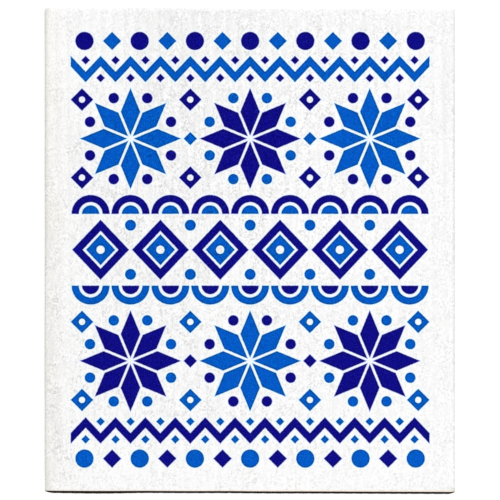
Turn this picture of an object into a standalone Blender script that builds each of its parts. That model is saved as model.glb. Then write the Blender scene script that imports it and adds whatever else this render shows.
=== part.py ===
# Sponge cloth: one flat sheet of soft cellulose, embossed with ribs and printed in two blues.
#
# The sheet lies on its flat underside at Z = 0, centred on the origin. X is its width and
# Y its length. The ribs run along Y on the upper side. The print soaks into the surface, so
# it has no thickness of its own: it is fields of colour in the upper face. Its rows of
# stars, arches, zigzags and dots mirror about a middle row of diamonds, with the inks swapped.
#
# Everything is in metres.
import math

import bmesh
import bpy
import numpy as np
from mathutils import Vector
from mathutils.geometry import delaunay_2d_cdt

# Sheet
SHEET_WIDTH = 0.170
SHEET_LENGTH = 0.200
SHEET_THICKNESS = 0.0020
CORNER_RADIUS = 0.0010

# Ribs, with a narrow groove between neighbours
RIB_PITCH = 0.00472
GROOVE_WIDTH = 0.0018
GROOVE_DEPTH = 0.00024

# Print area, and the bare line that separates the petals of a star
SIDE_MARGIN = 0.0105
END_MARGIN = 0.0095
BARE_LINE = 0.0010

# Row of dots and small diamonds at each end
DOT_PLACES = 13
DOT_SIZE = 0.0076

# Zigzag, with a small diamond in each notch
ZIGZAG_PEAKS = 12
ZIGZAG_HEIGHT = 0.0110
ZIGZAG_STROKE = 0.0044
NOTCH_SIZE = 0.0036

# Row of eight-pointed stars, with dots between their points
STARS = 3
STAR_POINTS = 8
STAR_SIZE = 0.042
STAR_DOT_SIZE = 0.0044
STAR_DOT_REACH = 0.0182
SPACER_SIZE = 0.0094
SPACER_RISE = 0.0162
SPACER_HOLE = 0.0026
MIDDLE_SPACER_SIZE = 0.0056
END_SPACER_INSET = 0.0047

# Row of nested arches
ARCHES = 9
ARCH_RADIUS = 0.0079
ARCH_STROKE = 0.0030
ARCH_CORE_RADIUS = 0.0036

# Middle row of nested diamonds
DIAMONDS = 6
DIAMOND_HEIGHT = 0.0250
DIAMOND_SPACING = 0.0012
DIAMOND_STROKE = 0.0044
DIAMOND_CORE_WIDTH = 0.0122
DIAMOND_HOLE = 0.0034
DIAMOND_DOT_SIZE = 0.0046

# How far a round outline may stray inside its true curve
ROUND_SAG = 0.00008

# Points closer than this are one point
SAME_PLACE = 1e-7

# The kind of result that the triangulation gives: only the parts inside an outline
MESH_FACES = 4

PAPER, LIGHT, DARK = range(3)
COLOURS = {
    "cellulose_white": (243, 244, 244),
    "light_blue_ink": (9, 88, 192),
    "dark_blue_ink": (15, 12, 121),
}
ROUGHNESS = 0.9

PRINT_WIDTH = SHEET_WIDTH - 2 * SIDE_MARGIN
PRINT_LENGTH = SHEET_LENGTH - 2 * END_MARGIN


# An outline is a list of points, anticlockwise as seen from above. A field of the print is a
# pair of its ink and its outline.


def arc(x, y, radius, start, end):
    """Points along an arc, both ends included."""
    step = 2 * math.acos(1 - ROUND_SAG / radius)
    steps = math.ceil((end - start) / step)
    return [
        Vector((x + radius * math.cos(a), y + radius * math.sin(a)))
        for a in np.linspace(start, end, steps + 1)
    ]


def disc(x, y, size):
    return arc(x, y, size / 2, 0, 2 * math.pi)[:-1]


def half_disc(x, base, radius):
    """The upper half of a disc."""
    return arc(x, base, radius, 0, math.pi)


def diamond(x, y, width, height):
    return [
        Vector((x + width / 2, y)),
        Vector((x, y + height / 2)),
        Vector((x - width / 2, y)),
        Vector((x, y - height / 2)),
    ]


def petal(x, y, angle):
    """One of a star's points: a rhombus from just off the middle out to the tip."""
    half_angle = math.pi / STAR_POINTS
    inner = BARE_LINE / 2 / math.sin(half_angle)
    outer = STAR_SIZE / 2
    half_length = (outer - inner) / 2
    half_width = half_length * math.tan(half_angle)
    along = Vector((math.cos(angle), math.sin(angle)))
    across = Vector((-along.y, along.x))
    centre = Vector((x, y)) + (inner + outer) / 2 * along
    return [
        centre + half_length * along,
        centre + half_width * across,
        centre - half_length * along,
        centre - half_width * across,
    ]


def places(count):
    """The middles of equal steps across the print."""
    step = PRINT_WIDTH / count
    return [(i - (count - 1) / 2) * step for i in range(count)]


def turns(count, first=0.0):
    return [2 * math.pi * (i + first) / count for i in range(count)]


# Each row is laid out about Y = 0, with the nearer end of the sheet towards +Y.


def dot_row():
    """Discs and small diamonds in turn."""
    fields = []
    for i, x in enumerate(places(DOT_PLACES)):
        if i % 2:
            fields.append((LIGHT, diamond(x, 0, DOT_SIZE, DOT_SIZE)))
        else:
            fields.append((DARK, disc(x, 0, DOT_SIZE)))
    return fields


def zigzag_row():
    """A zigzag stroke from edge to edge of the print, with a small diamond in each notch."""
    step = PRINT_WIDTH / ZIGZAG_PEAKS / 2
    swing = (ZIGZAG_HEIGHT - ZIGZAG_STROKE) / 2
    knees = [
        Vector((-PRINT_WIDTH / 2 + i * step, swing * (-1) ** i))
        for i in range(2 * ZIGZAG_PEAKS + 1)
    ]
    half_stroke = Vector((0, ZIGZAG_STROKE / 2))
    lower = [knee - half_stroke for knee in knees]
    upper = [knee + half_stroke for knee in reversed(knees)]
    fields = [(LIGHT, lower + upper)]
    rise = (ZIGZAG_HEIGHT - NOTCH_SIZE) / 2
    for knee in knees[1:-1]:
        notch_y = -math.copysign(rise, knee.y)
        fields.append((DARK, diamond(knee.x, notch_y, NOTCH_SIZE, NOTCH_SIZE)))
    return fields


def star(x, ink, dot_ink):
    fields = [(ink, petal(x, 0, angle)) for angle in turns(STAR_POINTS)]
    for angle in turns(STAR_POINTS, first=0.5):
        dot_x = x + STAR_DOT_REACH * math.cos(angle)
        dot_y = STAR_DOT_REACH * math.sin(angle)
        fields.append((dot_ink, disc(dot_x, dot_y, STAR_DOT_SIZE)))
    return fields


def spacer(x, y):
    """A small diamond with a bare round hole."""
    return [
        (DARK, diamond(x, y, SPACER_SIZE, SPACER_SIZE)),
        (PAPER, disc(x, y, SPACER_HOLE)),
    ]


def star_row():
    """Large stars in alternate inks, with diamonds between them and at the ends."""
    fields = []
    for i, x in enumerate(places(STARS)):
        inks = (DARK, LIGHT) if i % 2 else (LIGHT, DARK)
        fields += star(x, *inks)
    between = [x + PRINT_WIDTH / STARS / 2 for x in places(STARS)[:-1]]
    end = PRINT_WIDTH / 2 - END_SPACER_INSET
    for x in [-end] + between + [end]:
        fields += spacer(x, SPACER_RISE) + spacer(x, -SPACER_RISE)
    for x in between:
        fields.append((LIGHT, diamond(x, 0, MIDDLE_SPACER_SIZE, MIDDLE_SPACER_SIZE)))
    return fields


def arch_row():
    """Arches with a half-round core."""
    base = -ARCH_RADIUS / 2
    fields = []
    for x in places(ARCHES):
        fields += [
            (DARK, half_disc(x, base, ARCH_RADIUS)),
            (PAPER, half_disc(x, base, ARCH_RADIUS - ARCH_STROKE)),
            (LIGHT, half_disc(x, base, ARCH_CORE_RADIUS)),
        ]
    return fields


def diamond_row():
    """Nested diamonds, with a dot above and below each place where two meet."""
    step = PRINT_WIDTH / DIAMONDS
    width = step - DIAMOND_SPACING
    slope = DIAMOND_HEIGHT / width
    bare_width = width - 2 * DIAMOND_STROKE
    fields = []
    for x in places(DIAMONDS):
        fields += [
            (DARK, diamond(x, 0, width, DIAMOND_HEIGHT)),
            (PAPER, diamond(x, 0, bare_width, bare_width * slope)),
            (LIGHT, diamond(x, 0, DIAMOND_CORE_WIDTH, DIAMOND_CORE_WIDTH * slope)),
            (PAPER, disc(x, 0, DIAMOND_HOLE)),
        ]
    rise = (DIAMOND_HEIGHT - DIAMOND_DOT_SIZE) / 2
    for x in places(DIAMONDS)[:-1]:
        for dot_y in (rise, -rise):
            fields.append((LIGHT, disc(x + step / 2, dot_y, DIAMOND_DOT_SIZE)))
    return fields


def raised(fields, rise):
    return [(ink, [p + Vector((0, rise)) for p in outline]) for ink, outline in fields]


def mirrored(fields):
    """The same fields on the other half of the sheet, with the two inks swapped."""
    swapped = {PAPER: PAPER, LIGHT: DARK, DARK: LIGHT}
    return [
        (swapped[ink], [Vector((p.x, -p.y)) for p in reversed(outline)])
        for ink, outline in fields
    ]


def print_fields():
    """The whole print. Where two fields overlap, the later one shows."""
    rows = [
        (arch_row(), ARCH_RADIUS),
        (star_row(), STAR_SIZE),
        (zigzag_row(), ZIGZAG_HEIGHT),
        (dot_row(), DOT_SIZE),
    ]
    edge = DIAMOND_HEIGHT / 2
    used = edge + sum(height for _, height in rows)
    gap = (PRINT_LENGTH / 2 - used) / len(rows)
    fields = diamond_row()
    for row, height in rows:
        upper = raised(row, edge + gap + height / 2)
        fields += upper + mirrored(upper)
        edge += gap + height
    return fields


def sheet_outline():
    """The rounded rectangle that the sheet is cut to, anticlockwise from its right side."""
    x = SHEET_WIDTH / 2 - CORNER_RADIUS
    y = SHEET_LENGTH / 2 - CORNER_RADIUS
    outline = []
    for quarter, (side_x, side_y) in enumerate([(1, 1), (-1, 1), (-1, -1), (1, -1)]):
        start = quarter * math.pi / 2
        outline += arc(side_x * x, side_y * y, CORNER_RADIUS, start, start + math.pi / 2)
    return outline


def rib_profile():
    """Where the upper side bends at its grooves, as matching arrays of x and height."""
    each_side = int((SHEET_WIDTH / 2 - RIB_PITCH / 2) / RIB_PITCH)
    grooves = RIB_PITCH * np.arange(-each_side, each_side + 1)
    steps = np.array([-GROOVE_WIDTH / 2, 0.0, GROOVE_WIDTH / 2])
    drops = np.array([0.0, GROOVE_DEPTH, 0.0])
    bends = (grooves[:, None] + steps).ravel()
    heights = SHEET_THICKNESS - np.tile(drops, len(grooves))
    return bends, heights


def upper_face(mesh):
    """The upper side, cut along its ribs and its print, with each field's ink as its material."""
    outlines = [(PAPER, sheet_outline())] + print_fields()
    bends, heights = rib_profile()
    corners = []
    loops = []
    for _, outline in outlines:
        loops.append(list(range(len(corners), len(corners) + len(outline))))
        corners += outline
    creases = []
    for x in bends:
        creases.append((len(corners), len(corners) + 1))
        corners += [Vector((x, -SHEET_LENGTH)), Vector((x, SHEET_LENGTH))]
    points, _, faces, _, _, sources = delaunay_2d_cdt(
        corners, creases, loops, MESH_FACES, SAME_PLACE
    )
    verts = [mesh.verts.new((p.x, p.y, np.interp(p.x, bends, heights))) for p in points]
    for face, source in zip(faces, sources):
        if 0 in source:
            made = mesh.faces.new([verts[i] for i in face])
            made.material_index = outlines[max(source)][0]
    loose = [v for v in mesh.verts if not v.link_faces]
    bmesh.ops.delete(mesh, geom=loose, context="VERTS")


def sides_and_underside(mesh):
    """The cut edge all round, down to a flat underside."""
    rim = [edge for edge in mesh.edges if edge.is_boundary]
    dropped = bmesh.ops.extrude_edge_only(mesh, edges=rim)["geom"]
    for vert in dropped:
        if isinstance(vert, bmesh.types.BMVert):
            vert.co.z = 0.0
    lower_rim = [edge for edge in mesh.edges if edge.is_boundary]
    bmesh.ops.triangle_fill(mesh, edges=lower_rim, use_beauty=True)
    bmesh.ops.recalc_face_normals(mesh, faces=mesh.faces[:])


def linear(byte):
    """A display value from 0 to 255 as the linear value that a shader takes."""
    share = byte / 255
    if share <= 0.04045:
        return share / 12.92
    return ((share + 0.055) / 1.055) ** 2.4


def make_material(name, colour):
    material = bpy.data.materials.new(name)
    material.use_nodes = True
    shader = material.node_tree.nodes["Principled BSDF"]
    rgba = [linear(channel) for channel in colour] + [1.0]
    shader.inputs["Base Color"].default_value = rgba
    shader.inputs["Roughness"].default_value = ROUGHNESS
    shader.inputs["Metallic"].default_value = 0.0
    material.diffuse_color = rgba
    return material


def clear_scene():
    for old in list(bpy.data.objects):
        bpy.data.objects.remove(old, do_unlink=True)


def main():
    clear_scene()
    collection = bpy.data.collections.new("sponge_cloth")
    bpy.context.scene.collection.children.link(collection)
    mesh = bmesh.new()
    upper_face(mesh)
    sides_and_underside(mesh)
    data = bpy.data.meshes.new("sponge_cloth")
    mesh.to_mesh(data)
    mesh.free()
    for name, colour in COLOURS.items():
        data.materials.append(make_material(name, colour))
    cloth = bpy.data.objects.new("sponge_cloth", data)
    collection.objects.link(cloth)


main()
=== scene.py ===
# Sponge cloth, lying on a white table and seen from straight above.
# Places are in metres, in the CAD model's frame. The print and the patterns are in millimetres.
import math
from functools import partial

import bmesh
import bpy
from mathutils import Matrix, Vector, noise


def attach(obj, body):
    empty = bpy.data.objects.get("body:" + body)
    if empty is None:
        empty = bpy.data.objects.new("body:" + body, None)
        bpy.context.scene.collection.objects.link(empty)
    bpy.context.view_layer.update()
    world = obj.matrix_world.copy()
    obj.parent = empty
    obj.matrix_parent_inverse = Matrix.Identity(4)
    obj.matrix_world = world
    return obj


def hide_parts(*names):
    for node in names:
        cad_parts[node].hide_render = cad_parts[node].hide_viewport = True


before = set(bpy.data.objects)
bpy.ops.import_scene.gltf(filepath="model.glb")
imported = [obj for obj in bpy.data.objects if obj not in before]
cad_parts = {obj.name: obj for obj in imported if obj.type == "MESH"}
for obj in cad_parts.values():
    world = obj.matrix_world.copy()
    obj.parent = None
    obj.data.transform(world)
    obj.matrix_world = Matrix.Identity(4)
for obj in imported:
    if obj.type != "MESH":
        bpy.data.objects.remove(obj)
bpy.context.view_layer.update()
print("frame loaded")

cloth = {
    "width": 0.1704,         # as cut, a hair over the nominal 170 x 200 mm
    "length": 0.2005,
    "thickness": 0.0020,
    "cornerRadii": {          # the die is worn, so no two corners are alike
        (-1, 1): 0.0008,
        (1, 1): 0.0011,
        (-1, -1): 0.0004,
        (1, -1): 0.0008,
    },
    "columns": 288,          # faces across, eight to a rib
    "rows": 300,
    "undersideStep": 4,      # upper faces to one face of the underside
    "ribPitch": 0.00472,
    "grooveWidth": 0.0030,
    "grooveDepth": 0.00021,
    "ribLean": 0.0071,       # the ribs aren't quite square to the ends
    "ribWander": 0.00045,    # how far a rib strays sideways on its way down
    "wanderScale": (12.0, 14.0),
    "ribFade": 0.45,         # share of the depth that is gone at the lower end
    "leftRoll": (0.0021, 0.00080),     # width and depth of the rolled long sides
    "leftRollBelow": (0.0046, 0.0016, 0.015),   # at the lower end, and how far up it reaches
    "leftRollEased": (-0.024, 0.028, 0.4),      # middle, reach, and share that is gone there
    "rightRoll": (0.0017, 0.00090),
    "rollPower": 2.5,
    "upperRoll": (0.0013, 0.00012, 2.0),        # width, depth and power
    "crush": (0.0024, 0.00125),        # reach and depth of the pressed lower right corner
    "edgeFaces": 6,                    # faces that are drawn in towards each edge
    "edgePower": 1.75,
    "rimDrop": 0.00002,
    "wallLevels": (0.78, 0.5, 0.2, 0.0),   # rings of the cut edge, as shares of the thickness
    "underRound": 0.00010,
    "wallRoughness": 0.00005,
    "wallScale": 1300.0,
    "wallPower": 9,          # the higher, the nearer to a corner its walls turn
    "outlineDrift": 0.00010,
    "driftScale": 45.0,
    "driftPower": 8,         # the higher, the nearer to the edge the drift stays
    "cutSkew": 0.0029,       # the ends are cut a little out of square
    "raised": [              # middle, reach and height, where the dry sheet is off the table
        (-0.064, -0.100, 0.024, 0.00045),
        (-0.020, 0.030, 0.070, 0.00030),
        (0.070, 0.060, 0.040, 0.00022),
    ],
    "fluff": 0.000022,
    "fluffScale": (900.0, 380.0),
    "flatFrom": 0.5,         # rise of the normal from which a face isn't part of the cut edge
    "sharpFrom": 30.0,       # degrees
    "hair": 1e-6,            # for comparing places
}


# Small shader helpers

def feed(tree, socket, value):
    if isinstance(value, bpy.types.NodeSocket):
        tree.links.new(value, socket)
    else:
        socket.default_value = value


def calc(tree, operation, *values, clamp=False):
    node = tree.nodes.new("ShaderNodeMath")
    node.operation = operation
    node.use_clamp = clamp
    for socket, value in zip(node.inputs, values):
        feed(tree, socket, value)
    return node.outputs[0]


def blend(tree, factor, first, second):
    node = tree.nodes.new("ShaderNodeMix")
    node.data_type = "RGBA"
    feed(tree, node.inputs["Factor"], factor)
    feed(tree, node.inputs[6], first)
    feed(tree, node.inputs[7], second)
    return node.outputs[2]


def stretched(tree, place, scale):
    node = tree.nodes.new("ShaderNodeMapping")
    feed(tree, node.inputs["Vector"], place)
    node.inputs["Scale"].default_value = scale
    return node.outputs["Vector"]


def speckle(tree, place, scale, detail, roughness):
    node = tree.nodes.new("ShaderNodeTexNoise")
    feed(tree, node.inputs["Vector"], stretched(tree, place, scale))
    node.inputs["Scale"].default_value = 1.0
    node.inputs["Detail"].default_value = detail
    node.inputs["Roughness"].default_value = roughness
    return node.outputs["Fac"]


def newGroup(name, inputs, outputs):
    tree = bpy.data.node_groups.new(name, "ShaderNodeTree")
    for label, kind in inputs:
        tree.interface.new_socket(label, in_out="INPUT", socket_type=kind)
    for label, kind in outputs:
        tree.interface.new_socket(label, in_out="OUTPUT", socket_type=kind)
    entry = tree.nodes.new("NodeGroupInput")
    result = tree.nodes.new("NodeGroupOutput")
    return tree, entry.outputs, result.inputs


def useGroup(tree, group, **values):
    node = tree.nodes.new("ShaderNodeGroup")
    node.node_tree = group
    for label, value in values.items():
        feed(tree, node.inputs[label], value)
    return node.outputs


def seenRays(tree):
    # 1 for what the camera, a reflection or glass sees, and 0 for light that falls on things
    rays = tree.nodes.new("ShaderNodeLightPath").outputs
    seen = rays["Is Camera Ray"]
    for other in ("Is Glossy Ray", "Is Transmission Ray"):
        seen = calc(tree, "MAXIMUM", seen, rays[other])
    return seen


def display(red, green, blue):
    # A colour as a screen shows it, 0 to 255, turned into the linear one that a shader takes
    shares = [channel / 255 for channel in (red, green, blue)]
    linear = [s / 12.92 if s <= 0.04045 else ((s + 0.055) / 1.055) ** 2.4 for s in shares]
    return (*linear, 1.0)


# The print: how far inside a mark of each ink a point is, in mm. It's the same at both sides,
# and the lower half mirrors the upper one with its inks swapped.
clothPrint = {
    "width": 149.0,
    "length": 181.0,
    "bareLine": 1.0,          # between the petals of a star
    "dotPlaces": 13,
    "dotSize": 7.6,
    "zigzagPeaks": 12,
    "zigzagHeight": 11.0,
    "zigzagStroke": 4.4,
    "notchSize": 3.6,
    "stars": 3,
    "starPoints": 8,
    "starSize": 42.0,
    "starDotSize": 4.4,
    "starDotReach": 18.2,
    "spacerSize": 9.4,
    "spacerRise": 16.2,
    "spacerHole": 2.6,
    "middleSpacerSize": 5.6,
    "endSpacerInset": 4.7,
    "arches": 9,
    "archRadius": 7.9,
    "archStroke": 3.0,
    "archCoreRadius": 3.6,
    "diamonds": 6,
    "diamondHeight": 25.0,
    "diamondSpacing": 1.2,
    "diamondStroke": 4.4,
    "diamondCoreWidth": 12.2,
    "diamondHole": 3.4,
    "diamondDotSize": 4.6,
}


def reach(maths, x, y):
    return maths("SQRT", maths("MULTIPLY_ADD", x, x, maths("MULTIPLY", y, y)))


def discMark(maths, x, y, size):
    return maths("SUBTRACT", size / 2, reach(maths, x, y))


def diamondMark(maths, x, y, width, height):
    slack = width * height / 2 / math.hypot(width, height)
    across = maths("MULTIPLY_ADD", maths("ABSOLUTE", x), -2 * slack / width, slack)
    return maths("MULTIPLY_ADD", maths("ABSOLUTE", y), -2 * slack / height, across)


def nearest(maths, x, step, first=0.0):
    # How far x is from the nearest of the places that start at first and are a step apart
    if first:
        x = maths("SUBTRACT", x, first)
    return maths("WRAP", x, step / 2, -step / 2)


def most(maths, *marks):
    result = marks[0]
    for mark in marks[1:]:
        result = maths("MAXIMUM", result, mark)
    return result


def least(maths, *marks):
    result = marks[0]
    for mark in marks[1:]:
        result = maths("MINIMUM", result, mark)
    return result


def ringMark(maths, outer, inner):
    return maths("MINIMUM", outer, maths("MULTIPLY", inner, -1.0))


def diamondRow(maths, x, y, p):
    step = p["width"] / p["diamonds"]
    width = step - p["diamondSpacing"]
    slope = p["diamondHeight"] / width
    bareWidth = width - 2 * p["diamondStroke"]
    nearX = nearest(maths, x, step, step / 2)
    outer = diamondMark(maths, nearX, y, width, p["diamondHeight"])
    bare = diamondMark(maths, nearX, y, bareWidth, bareWidth * slope)
    core = diamondMark(maths, nearX, y, p["diamondCoreWidth"], p["diamondCoreWidth"] * slope)
    hole = discMark(maths, nearX, y, p["diamondHole"])
    rise = (p["diamondHeight"] - p["diamondDotSize"]) / 2
    dotY = maths("SUBTRACT", maths("ABSOLUTE", y), rise)
    dots = discMark(maths, nearest(maths, x, step), dotY, p["diamondDotSize"])
    innerDots = least(maths, dots, maths("SUBTRACT", p["width"] / 2 - p["diamondDotSize"], x))
    return most(maths, ringMark(maths, core, hole), innerDots), ringMark(maths, outer, bare)


def archRow(maths, x, y, p):
    radius = p["archRadius"]
    aboveBase = maths("ADD", y, radius / 2)
    away = reach(maths, nearest(maths, x, p["width"] / p["arches"]), aboveBase)
    arch = least(
        maths,
        maths("SUBTRACT", radius, away),
        maths("SUBTRACT", away, radius - p["archStroke"]),
        aboveBase,
    )
    core = least(maths, maths("SUBTRACT", p["archCoreRadius"], away), aboveBase)
    return core, arch


def starRow(maths, x, y, p):
    step = p["width"] / p["stars"]
    nearX = nearest(maths, x, step)
    away = reach(maths, nearX, y)
    angle = maths("ARCTAN2", y, nearX)
    turn = 2 * math.pi / p["starPoints"]

    def arm(first):
        # Each point of the star, folded onto the one along +X
        folded = nearest(maths, angle, turn, first)
        along = maths("MULTIPLY", away, maths("COSINE", folded))
        across = maths("MULTIPLY", away, maths("SINE", folded))
        return along, across

    inner = p["bareLine"] / 2 / math.sin(turn / 2)
    outer = p["starSize"] / 2
    along, across = arm(0.0)
    petals = diamondMark(
        maths,
        maths("SUBTRACT", along, (inner + outer) / 2),
        across,
        outer - inner,
        (outer - inner) * math.tan(turn / 2),
    )
    along, across = arm(turn / 2)
    dots = discMark(maths, maths("SUBTRACT", along, p["starDotReach"]), across, p["starDotSize"])

    between = step / 2
    end = p["width"] / 2 - p["endSpacerInset"]
    fold = maths("ABSOLUTE", maths("SUBTRACT", x, (between + end) / 2))
    spacerX = maths("SUBTRACT", fold, (end - between) / 2)
    spacerY = maths("SUBTRACT", maths("ABSOLUTE", y), p["spacerRise"])
    spacers = ringMark(
        maths,
        diamondMark(maths, spacerX, spacerY, p["spacerSize"], p["spacerSize"]),
        discMark(maths, spacerX, spacerY, p["spacerHole"]),
    )
    middle = p["middleSpacerSize"]
    middleSpacers = diamondMark(maths, maths("SUBTRACT", x, between), y, middle, middle)

    outerStars = maths("SUBTRACT", x, between)
    middleStar = maths("MULTIPLY", outerStars, -1.0)
    light = most(
        maths, least(maths, petals, outerStars), least(maths, dots, middleStar), middleSpacers
    )
    dark = most(maths, least(maths, petals, middleStar), least(maths, dots, outerStars), spacers)
    return light, dark


def zigzagRow(maths, x, y, p):
    step = p["width"] / p["zigzagPeaks"] / 2
    swing = (p["zigzagHeight"] - p["zigzagStroke"]) / 2
    slope = 2 * swing / step
    line = maths("MULTIPLY_ADD", maths("PINGPONG", x, step), -slope, swing)
    off = maths("ABSOLUTE", maths("SUBTRACT", y, line))
    square = 1 / math.hypot(1, slope)
    stroke = maths("MULTIPLY_ADD", off, -square, p["zigzagStroke"] / 2 * square)
    size = p["notchSize"]
    rise = (p["zigzagHeight"] - size) / 2
    lower = diamondMark(maths, nearest(maths, x, 2 * step), maths("ADD", y, rise), size, size)
    upper = diamondMark(
        maths, nearest(maths, x, 2 * step, step), maths("SUBTRACT", y, rise), size, size
    )
    inPrint = maths("SUBTRACT", p["width"] / 2 - size, x)
    return stroke, least(maths, most(maths, lower, upper), inPrint)


def dotRow(maths, x, y, p):
    step = p["width"] / p["dotPlaces"]
    size = p["dotSize"]
    discs = discMark(maths, nearest(maths, x, 2 * step), y, size)
    diamonds = diamondMark(maths, nearest(maths, x, 2 * step, step), y, size, size)
    return diamonds, discs


def printGroup():
    p = clothPrint
    tree, entry, result = newGroup(
        "clothPrint",
        [("Place", "NodeSocketVector")],
        [("Light", "NodeSocketFloat"), ("Dark", "NodeSocketFloat")],
    )
    maths = partial(calc, tree)
    split = tree.nodes.new("ShaderNodeSeparateXYZ")
    feed(tree, split.inputs[0], entry["Place"])
    x = maths("ABSOLUTE", split.outputs["X"])
    fromMiddle = maths("ABSOLUTE", split.outputs["Y"])

    rows = [
        (archRow, p["archRadius"]),
        (starRow, p["starSize"]),
        (zigzagRow, p["zigzagHeight"]),
        (dotRow, p["dotSize"]),
    ]
    edge = p["diamondHeight"] / 2
    gap = (p["length"] / 2 - edge - sum(height for _, height in rows)) / len(rows)
    lights = []
    darks = []
    for row, height in rows:
        rowY = maths("SUBTRACT", fromMiddle, edge + gap + height / 2)
        light, dark = row(maths, x, rowY, p)
        lights.append(light)
        darks.append(dark)
        edge += gap + height
    light = most(maths, *lights)
    dark = most(maths, *darks)

    # Swap the inks in the lower half
    lower = maths("LESS_THAN", split.outputs["Y"], 0.0)
    change = maths("MULTIPLY", maths("SUBTRACT", dark, light), lower)
    middleLight, middleDark = diamondRow(maths, x, split.outputs["Y"], p)
    light = most(maths, maths("ADD", light, change), middleLight)
    dark = most(maths, maths("SUBTRACT", dark, change), middleDark)

    inPrint = maths("SUBTRACT", p["width"] / 2, x)
    feed(tree, result["Light"], least(maths, light, inPrint))
    feed(tree, result["Dark"], least(maths, dark, inPrint))
    return tree


# The cellulose: short fibres, pores and patches where it's denser; the pores are also painted
# darker, as painted shade in their hollows, and the upper end gets a painted falloff of light
grain = {
    "fibres": ((1.2, 1.0, 1.2), 3.0, 0.7),    # scale across, along and through the sheet,
    "fibreStrength": 2.65,                    # per mm, then detail and roughness
    "clumps": ((0.28, 0.22, 0.28), 1.0, 0.5),     # where the fibres lie thicker
    "clumpContrast": 4.6,
    "thinnest": 0.3,
    "streaks": ((1.5, 0.30, 1.5), 2.0, 0.6),
    "streakStrength": 0.8,
    "pores": ((1.5, 1.2, 1.5), 3.0, 0.65),
    "poreStart": 0.62,
    "poreEnd": 0.74,
    "poreShade": 0.55,
    "poreDepth": 0.6,
    "patches": ((0.22, 0.12, 0.22), 2.0, 0.5),
    "patchStrength": 0.4,
    "plain": 0.70,                   # strength of the grain where it was pressed the least
    "pressed": [                     # middle x and y, half width, half length, added strength
        (-15.0, 0.0, 85.0, 105.0, 0.56),
        (-70.0, -64.0, 34.0, 48.0, 0.34),
        (32.0, 84.0, 40.0, 36.0, 0.30),
    ],
    "endToEnd": 0.0005,              # painted falloff of light: the upper end is painted a trace darker, per mm
    "base": 0.19,
}


def spotMask(maths, x, y, middleX, middleY, halfWidth, halfLength):
    # 1 in the middle of an oval, and 0 from its outline on
    a = maths("MULTIPLY_ADD", x, 1 / halfWidth, -middleX / halfWidth)
    b = maths("MULTIPLY_ADD", y, 1 / halfLength, -middleY / halfLength)
    away = maths("MULTIPLY_ADD", a, a, maths("MULTIPLY", b, b))
    return maths("SUBTRACT", 1.0, away, clamp=True)


def grainGroup():
    g = grain
    tree, entry, result = newGroup(
        "celluloseGrain",
        [("Place", "NodeSocketVector"), ("Openness", "NodeSocketFloat")],
        [("Shade", "NodeSocketFloat"), ("Height", "NodeSocketFloat")],
    )
    maths = partial(calc, tree)
    place = entry["Place"]
    split = tree.nodes.new("ShaderNodeSeparateXYZ")
    feed(tree, split.inputs[0], place)
    x, y = split.outputs["X"], split.outputs["Y"]
    fibres = speckle(tree, place, *g["fibres"])
    streaks = speckle(tree, place, *g["streaks"])
    poreRange = g["poreEnd"] - g["poreStart"]
    pores = maths(
        "MULTIPLY_ADD",
        speckle(tree, place, *g["pores"]),
        1 / poreRange,
        -g["poreStart"] / poreRange,
        clamp=True,
    )
    pores = maths("MULTIPLY", pores, entry["Openness"])
    patches = speckle(tree, place, *g["patches"])
    clumps = speckle(tree, place, *g["clumps"])
    contrast = g["clumpContrast"]
    thickness = maths("MULTIPLY_ADD", clumps, contrast, 1 - contrast / 2)
    thickness = maths("MAXIMUM", thickness, g["thinnest"])
    thickness = maths("MULTIPLY", thickness, g["fibreStrength"])
    shade = maths("MULTIPLY", maths("SUBTRACT", fibres, 0.5), thickness)
    for part, strength in ((streaks, g["streakStrength"]), (patches, g["patchStrength"])):
        shade = maths("MULTIPLY_ADD", maths("SUBTRACT", part, 0.5), strength, shade)
    # the pores are painted darker too: painted shade in their hollows, beside their dents in the
    # bump
    shade = maths("MULTIPLY_ADD", pores, g["poreShade"], shade)
    pressed = g["plain"]
    for *spot, strength in g["pressed"]:
        pressed = maths("MULTIPLY_ADD", spotMask(maths, x, y, *spot), strength, pressed)
    shade = maths("MULTIPLY", shade, pressed)
    # painted falloff of light towards the upper end
    shade = maths("MULTIPLY_ADD", y, g["endToEnd"], shade)
    feed(tree, result["Shade"], maths("ADD", shade, g["base"]))
    feed(tree, result["Height"], maths("MULTIPLY_ADD", pores, -g["poreDepth"], fibres))
    return tree


# Painted shade and light: darker and lighter patches, darker lines along the long edges where they
# roll away from the light, and a painted warm fringe of the shadow along the lower end. Real wear:
# brown stains, and a margin that has yellowed
wearAndShade = {
    "paintedLightAndShade": [        # painted shade, patch by patch: middle x and y, half width, half length, strength; below 0 is painted lighter
        (-82.2, -38.0, 3.4, 78.0, 0.17),
        (-40.0, 25.0, 26.0, 115.0, 0.07),
        (-18.0, 68.0, 34.0, 60.0, 0.07),
        (-70.0, 88.0, 30.0, 44.0, -0.10),
        (-5.0, -97.0, 100.0, 20.0, -0.08),
        (-80.3, -76.0, 2.8, 25.0, 0.20),
        (84.0, 75.0, 7.0, 42.0, 0.10),
        (84.6, 0.0, 0.8, 160.0, 0.34),
        (-85.3, 0.0, 1.0, 160.0, 0.12),
    ],
    "stains": [
        (-81.5, 14.0, 5.0, 12.0, 0.28),
        (-81.5, 64.0, 5.0, 10.0, 0.12),
        (-81.5, -24.0, 4.0, 8.0, 0.10),
        (-82.0, -52.0, 4.0, 9.0, 0.13),
    ],
    "yellowEdge": -85.0,       # where the margin is yellowest, and how far in that reaches
    "yellowReach": 13.0,
    "shadowFringeEdge": -100.3,         # the painted warm fringe of the shadow, along the lower end
    "shadowFringeReach": 1.0,
}


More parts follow.
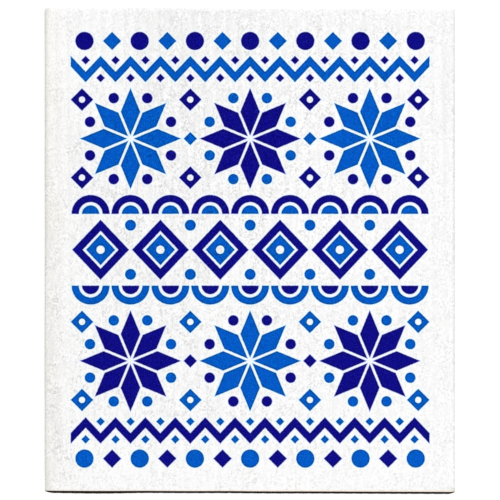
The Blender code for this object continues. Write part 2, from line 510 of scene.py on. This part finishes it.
def wearAndShadeGroup():
    w = wearAndShade
    tree, entry, result = newGroup(
        "handledAndShadedCloth",
        [("Place", "NodeSocketVector")],
        [
            ("PaintedShade", "NodeSocketFloat"),
            ("Yellow", "NodeSocketFloat"),
            ("Brown", "NodeSocketFloat"),
        ],
    )
    maths = partial(calc, tree)
    split = tree.nodes.new("ShaderNodeSeparateXYZ")
    feed(tree, split.inputs[0], entry["Place"])
    x, y = split.outputs["X"], split.outputs["Y"]
    # painted shade and painted light, patch by patch
    paintedTone = 0.0
    for *spot, strength in w["paintedLightAndShade"]:
        paintedTone = maths("MULTIPLY_ADD", spotMask(maths, x, y, *spot), strength, paintedTone)
    feed(tree, result["PaintedShade"], paintedTone)
    fromEdge = maths("SUBTRACT", x, w["yellowEdge"])
    near = maths("MULTIPLY_ADD", fromEdge, -1 / w["yellowReach"], 1.0, clamp=True)
    feed(tree, result["Yellow"], maths("MULTIPLY", near, near))
    # painted warm fringe of the shadow along the lower end, then the brown stains
    fromRim = maths("SUBTRACT", y, w["shadowFringeEdge"])
    brown = maths("MULTIPLY_ADD", fromRim, -1 / w["shadowFringeReach"], 1.0, clamp=True)
    for *spot, strength in w["stains"]:
        brown = maths("MULTIPLY_ADD", spotMask(maths, x, y, *spot), strength, brown)
    feed(tree, result["Brown"], brown)
    return tree


# The sheet's colours and surface. Widths are in mm.
finish = {
    "paper": display(253.8, 254, 254.6),
    "paperAged": display(253.8, 253, 248.6),
    "paperBrownAndShadowFringe": display(254, 242, 227),
    "paperShade": display(212, 212, 212),
    "paperBeside": display(241, 251, 255),    # beside a mark, where ink has crept into it
    "besideWidth": 0.9,
    "besideStrength": 1.0,
    "lightInk": display(0, 87, 208),
    "lightInkDeep": display(0, 60, 128),
    "lightInkThin": display(12, 160, 240),    # on the tops of the fibres
    "lightInkEdge": display(113, 197, 255),   # where it thins out, at an outline
    "darkInk": display(9, 3, 137),
    "darkInkDeep": display(2, 0, 70),
    "darkInkThin": display(44, 52, 196),
    "darkInkEdge": display(146, 140, 255),
    "edgeWidth": 0.16,
    "edgeSoftness": 0.14,
    "bleed": 0.16,                            # how far fibres carry the ink past its outline
    "bleedFibres": ((1.6, 1.1, 1.6), 2.0, 0.6),
    "rimPlace": 0.34,                         # ink lies thicker just inside an outline
    "rimWidth": 0.34,
    "lightRim": 1.1,
    "darkRim": 1.35,
    "inkMottle": 0.62,                        # share of the paper's grain that the ink shows
    "inkTint": 0.10,
    "fibreTops": ((2.5, 2.1, 2.5), 1.0, 0.5),
    "thinMost": 1.6,
    "roughness": (0.86, 0.98),
    "specular": 0.05,
    "bumpDepth": 0.00006,                     # in metres, as Blender takes it
    "faceOpenness": 1.0,                      # how far the pores show, as dents and as painted shade in them
    "cutOpenness": 2.2,
    "backOpenness": 1.3,
}


def millimetres(tree):
    # Object coordinates, in mm
    coordinates = tree.nodes.new("ShaderNodeTexCoord")
    return stretched(tree, coordinates.outputs["Object"], (1000.0, 1000.0, 1000.0))


def printedColour(tree, place, grainShade, colour):
    # The paper's colour with the two inks on it
    f = finish
    maths = partial(calc, tree)
    marks = useGroup(tree, prints, Place=place)
    wander = maths("SUBTRACT", speckle(tree, place, *f["bleedFibres"]), 0.5)
    tint = maths("MULTIPLY_ADD", grainShade, f["inkMottle"], f["inkTint"])
    tops = maths("SUBTRACT", speckle(tree, place, *f["fibreTops"]), 0.5)
    thin = maths("MULTIPLY", tops, f["thinMost"], clamp=True)
    anyInk = maths("MAXIMUM", marks["Light"], marks["Dark"])
    beside = f["besideStrength"]
    beside = maths("MULTIPLY_ADD", anyInk, beside / f["besideWidth"], beside, clamp=True)
    colour = blend(tree, beside, colour, f["paperBeside"])
    for ink in ("light", "dark"):
        inside = marks[ink.capitalize()]
        strayed = maths("MULTIPLY_ADD", wander, 2 * f["bleed"], inside)
        cover = maths("MULTIPLY_ADD", strayed, 1 / f["edgeSoftness"], 0.5, clamp=True)
        rim = f[ink + "Rim"]
        fromRim = maths("ABSOLUTE", maths("SUBTRACT", inside, f["rimPlace"]))
        rim = maths("MULTIPLY_ADD", fromRim, -rim / f["rimWidth"], rim, clamp=True)
        inkShade = maths("ADD", rim, tint, clamp=True)
        inkColour = blend(tree, inkShade, f[ink + "Ink"], f[ink + "InkDeep"])
        inkColour = blend(tree, thin, inkColour, f[ink + "InkThin"])
        colour = blend(tree, cover, colour, inkColour)
        fromEdge = maths("ABSOLUTE", strayed)
        edge = maths("MULTIPLY_ADD", fromEdge, -1 / f["edgeWidth"], 1.0, clamp=True)
        colour = blend(tree, edge, colour, f[ink + "InkEdge"])
    return colour


def celluloseMaterial(name, openness, printed=False):
    f = finish
    material = bpy.data.materials.new(name)
    material.use_nodes = True
    tree = material.node_tree
    maths = partial(calc, tree)
    shader = tree.nodes["Principled BSDF"]
    place = millimetres(tree)
    surface = useGroup(tree, grains, Place=place, Openness=openness)
    wornAndShaded = useGroup(tree, wearAndShadeNodes, Place=place)
    # adds the painted shade and light of the patches to the grain's shade
    shade = maths("ADD", surface["Shade"], wornAndShaded["PaintedShade"], clamp=True)
    paper = blend(tree, wornAndShaded["Yellow"], f["paper"], f["paperAged"])
    # brown stains, and the painted warm fringe of the shadow along the lower end
    paper = blend(tree, wornAndShaded["Brown"], paper, f["paperBrownAndShadowFringe"])
    colour = blend(tree, shade, paper, f["paperShade"])
    if printed:
        colour = printedColour(tree, place, surface["Shade"], colour)
    feed(tree, shader.inputs["Base Color"], colour)
    low, high = f["roughness"]
    rough = maths("MULTIPLY_ADD", shade, high - low, low)
    feed(tree, shader.inputs["Roughness"], rough)
    shader.inputs["Specular IOR Level"].default_value = f["specular"]
    relief = tree.nodes.new("ShaderNodeBump")
    relief.inputs["Distance"].default_value = f["bumpDepth"]
    feed(tree, relief.inputs["Height"], surface["Height"])
    feed(tree, shader.inputs["Normal"], relief.outputs["Normal"])
    return material


prints = printGroup()
grains = grainGroup()
wearAndShadeNodes = wearAndShadeGroup()
print("print, grain and wear groups made")


# The cloth's shape

def outlinePlace(x, y):
    # Crowds the outer faces towards the edges, and rounds the corners
    c = cloth
    placed = []
    for value, side, faces in ((x, c["width"], c["columns"]), (y, c["length"], c["rows"])):
        band = c["edgeFaces"] * side / faces
        fromEdge = max(0.0, side / 2 - abs(value))
        if fromEdge < band:
            fromEdge = band * (fromEdge / band) ** c["edgePower"]
        placed.append(math.copysign(side / 2 - fromEdge, value))
    x, y = placed
    radius = c["cornerRadii"][int(math.copysign(1, x)), int(math.copysign(1, y))]
    a = (abs(x) - c["width"] / 2) / radius + 1
    b = (abs(y) - c["length"] / 2) / radius + 1
    if a > 0 and b > 0:
        a, b = a * math.sqrt(1 - b * b / 2), b * math.sqrt(1 - a * a / 2)
        x = math.copysign(c["width"] / 2 - radius + a * radius, x)
        y = math.copysign(c["length"] / 2 - radius + b * radius, y)
    return x, y


def ribDrop(x, y):
    # Depth of the grooves between the ribs, and of the rolled sides
    c = cloth
    width, depth = c["rightRoll"] if x > 0 else c["leftRoll"]
    if x < 0:
        belowWidth, belowDepth, belowReach = c["leftRollBelow"]
        near = max(0.0, 1 - (y + c["length"] / 2) / belowReach)
        middle, easedReach, eased = c["leftRollEased"]
        ease = eased * max(0.0, 1 - ((y - middle) / easedReach) ** 2)
        width = (width + (belowWidth - width) * near) * (1 - ease)
        depth = (depth + (belowDepth - depth) * near) * (1 - ease)
    rolled = max(0.0, 1 - (c["width"] / 2 - abs(x)) / width)
    drop = depth * rolled ** c["rollPower"]
    if x > 0 > y:
        crushReach, depth = c["crush"]
        away = math.hypot(c["width"] / 2 - x, c["length"] / 2 + y)
        drop = max(drop, depth * max(0.0, 1 - away / crushReach))
    width, depth, power = c["upperRoll"]
    drop += depth * max(0.0, 1 - (c["length"] / 2 - y) / width) ** power
    across, along = c["wanderScale"]
    x += c["ribLean"] * y + c["ribWander"] * noise.noise((x * across, y * along, 4.4))
    off = abs(x - c["ribPitch"] * round(x / c["ribPitch"]))
    if off < c["grooveWidth"] / 2:
        hollow = 0.5 + 0.5 * math.cos(2 * math.pi * off / c["grooveWidth"])
        fade = 1 - c["ribFade"] * (0.5 - y / c["length"])
        drop += c["grooveDepth"] * fade * hollow * (1 - rolled)
    return drop


def raisedBy(x, y):
    height = 0.0
    for middleX, middleY, radius, rise in cloth["raised"]:
        away = math.hypot(x - middleX, y - middleY) / radius
        height += rise * max(0.0, 1 - away * away) ** 2
    return height


def sheetGrid(mesh, columns, rows, z):
    made = bmesh.ops.create_grid(mesh, x_segments=columns, y_segments=rows, size=0.5)["verts"]
    bmesh.ops.scale(mesh, vec=(cloth["width"], cloth["length"], 1), verts=made)
    bmesh.ops.translate(mesh, vec=(0, 0, z), verts=made)
    return made


def makeCloth():
    c = cloth
    hair = c["hair"]
    mesh = bmesh.new()
    top = sheetGrid(mesh, c["columns"], c["rows"], c["thickness"])
    step = c["undersideStep"]
    under = sheetGrid(mesh, c["columns"] // step, c["rows"] // step, 0.0)
    underRim = [e for e in mesh.edges if e.is_boundary and e.verts[0].co.z < hair]
    bmesh.ops.subdivide_edges(mesh, edges=underRim, cuts=step - 1)
    print("grids", len(top), len(under))

    # Cut edge, ring by ring from the rim down
    rim = [e for e in mesh.edges if e.is_boundary and e.verts[0].co.z > hair]
    topFaces = [f for f in mesh.faces if f.verts[0].co.z > hair]
    for level in c["wallLevels"]:
        ring = bmesh.ops.extrude_edge_only(mesh, edges=rim)["geom"]
        rim = [e for e in ring if isinstance(e, bmesh.types.BMEdge)]
        for vert in {v for e in rim for v in e.verts}:
            vert.co.z = level * c["thickness"]
    lowest = [v for v in mesh.verts if v.co.z < hair and v.is_boundary]
    bmesh.ops.remove_doubles(mesh, verts=lowest, dist=hair)
    print("open edges", sum(e.is_boundary for e in mesh.edges))

    onTop = {v for f in topFaces for v in f.verts}
    halfWidth, halfLength = c["width"] / 2, c["length"] / 2
    across, along = c["fluffScale"]
    wallScale, wallPower = c["wallScale"], c["wallPower"]
    drift, driftScale, power = c["outlineDrift"], c["driftScale"], c["driftPower"]
    for vert in mesh.verts:
        x, y, z = vert.co
        atEdge = max(abs(x) - halfWidth, abs(y) - halfLength) > -hair
        x, y = outlinePlace(x, y)
        if vert in onTop:
            z -= ribDrop(x, y)
            if atEdge:
                z -= c["rimDrop"]
            z += c["fluff"] * noise.noise((x * across, y * along, 3.7))
        elif atEdge:
            # The cut face is a little rough, and worn in at the bottom
            z *= 1 - ribDrop(x, y) / c["thickness"]
            rough = c["wallRoughness"] * noise.noise((x * wallScale, y * wallScale, z * wallScale))
            inset = c["underRound"] if z < hair else 0.0
            outward = Vector((x / halfWidth, y / halfLength))
            outward = Vector([round(part ** wallPower, 3) for part in outward])
            outward.normalize()
            x += (rough - inset) * outward.x
            y += (rough - inset) * outward.y
        # The die's line wanders slightly, and the dry sheet doesn't lie quite flat
        y -= c["cutSkew"] * x * abs(y) / halfLength
        x += drift * noise.noise((5.1, y * driftScale, 0.3)) * (abs(x) / halfWidth) ** power
        y += drift * noise.noise((x * driftScale, 9.4, 1.8)) * (abs(y) / halfLength) ** power
        vert.co = (x, y, z + raisedBy(x, y))

    bmesh.ops.recalc_face_normals(mesh, faces=mesh.faces[:])
    for face in mesh.faces:
        face.smooth = True
        if face.normal.z > c["flatFrom"]:
            face.material_index = 0
        elif face.normal.z < -c["flatFrom"]:
            face.material_index = 2
        else:
            face.material_index = 1
    for edge in mesh.edges:
        if edge.calc_face_angle(0.0) > math.radians(c["sharpFrom"]):
            edge.smooth = False
    data = bpy.data.meshes.new("spongeCloth")
    mesh.to_mesh(data)
    mesh.free()
    for material in (
        celluloseMaterial("celluloseFace", finish["faceOpenness"], printed=True),
        celluloseMaterial("celluloseCutEdge", finish["cutOpenness"]),
        celluloseMaterial("celluloseBack", finish["backOpenness"]),
    ):
        data.materials.append(material)
    piece = bpy.data.objects.new("spongeCloth", data)
    bpy.context.scene.collection.objects.link(piece)
    return piece


spongeCloth = makeCloth()
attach(spongeCloth, "root")
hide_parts("sponge_cloth")
spongeCloth.visible_diffuse = False     # so that its cut edge doesn't light up its own shadow
print("cloth made")


# Table, lamps and camera
studio = {
    "floorSize": 30.0,
    "floorSeen": (1.06, 1.06, 1.06, 1.0),       # enough for the lit table to come out white
    "floorBounce": (0.8, 0.8, 0.8, 1.0),
    "sunFrom": (0.085, 0.51, 1.0),
    "sunStrength": 3.27,
    "sunSize": 1.5,            # degrees
    "sidePlace": (0.46, 0.20, 0.38),
    "sideSize": 0.25,
    "sidePower": 0.50,
    "ambient": (0.0145, 0.0105, 0.006, 1.0),    # dim and warm, so that shadows are brownish
    "backdrop": (1.0, 1.0, 1.0, 1.0),
    "lens": 400.0,
    "sensor": 36.0,
    "viewWidth": 0.2076,
    "viewCentre": (-0.00005, -0.0001),
}


def aimed(thing, place, target):
    thing.location = place
    thing.rotation_euler = (Vector(target) - Vector(place)).to_track_quat("-Z", "Y").to_euler()
    bpy.context.scene.collection.objects.link(thing)


def makeFloor():
    s = studio
    mesh = bmesh.new()
    bmesh.ops.create_grid(mesh, x_segments=1, y_segments=1, size=s["floorSize"] / 2)
    data = bpy.data.meshes.new("floor")
    mesh.to_mesh(data)
    mesh.free()
    material = bpy.data.materials.new("whiteTable")
    material.use_nodes = True
    tree = material.node_tree
    tree.nodes.clear()
    matt = tree.nodes.new("ShaderNodeBsdfDiffuse")
    shown = blend(tree, seenRays(tree), s["floorBounce"], s["floorSeen"])
    feed(tree, matt.inputs["Color"], shown)
    output = tree.nodes.new("ShaderNodeOutputMaterial")
    tree.links.new(matt.outputs[0], output.inputs["Surface"])
    data.materials.append(material)
    floor = bpy.data.objects.new("floor", data)
    bpy.context.scene.collection.objects.link(floor)


def makeLamps():
    s = studio
    sun = bpy.data.lights.new("keyLamp", "SUN")
    sun.energy = s["sunStrength"]
    sun.angle = math.radians(s["sunSize"])
    aimed(bpy.data.objects.new("keyLamp", sun), s["sunFrom"], (0, 0, 0))
    side = bpy.data.lights.new("sideLamp", "AREA")
    side.shape = "DISK"
    side.size = s["sideSize"]
    side.energy = s["sidePower"]
    aimed(bpy.data.objects.new("sideLamp", side), s["sidePlace"], (0, 0, 0))


def makeWorld():
    world = bpy.data.worlds.new("studio")
    world.use_nodes = True
    tree = world.node_tree
    sky = tree.nodes["Background"]
    # White where it's seen, and dim where it lights the cloth
    colour = blend(tree, seenRays(tree), studio["ambient"], studio["backdrop"])
    feed(tree, sky.inputs["Color"], colour)
    sky.inputs["Strength"].default_value = 1.0
    bpy.context.scene.world = world


def makeCamera():
    s = studio
    lens = bpy.data.cameras.new("camera")
    lens.lens = s["lens"]
    lens.sensor_width = s["sensor"]
    camera = bpy.data.objects.new("camera", lens)
    x, y = s["viewCentre"]
    distance = s["viewWidth"] * s["lens"] / s["sensor"]
    camera.location = (x, y, cloth["thickness"] + distance)
    bpy.context.scene.collection.objects.link(camera)
    bpy.context.scene.camera = camera


makeFloor()
makeLamps()
makeWorld()
makeCamera()
bpy.context.scene.view_settings.view_transform = "Standard"
print("table, lamps and camera made")
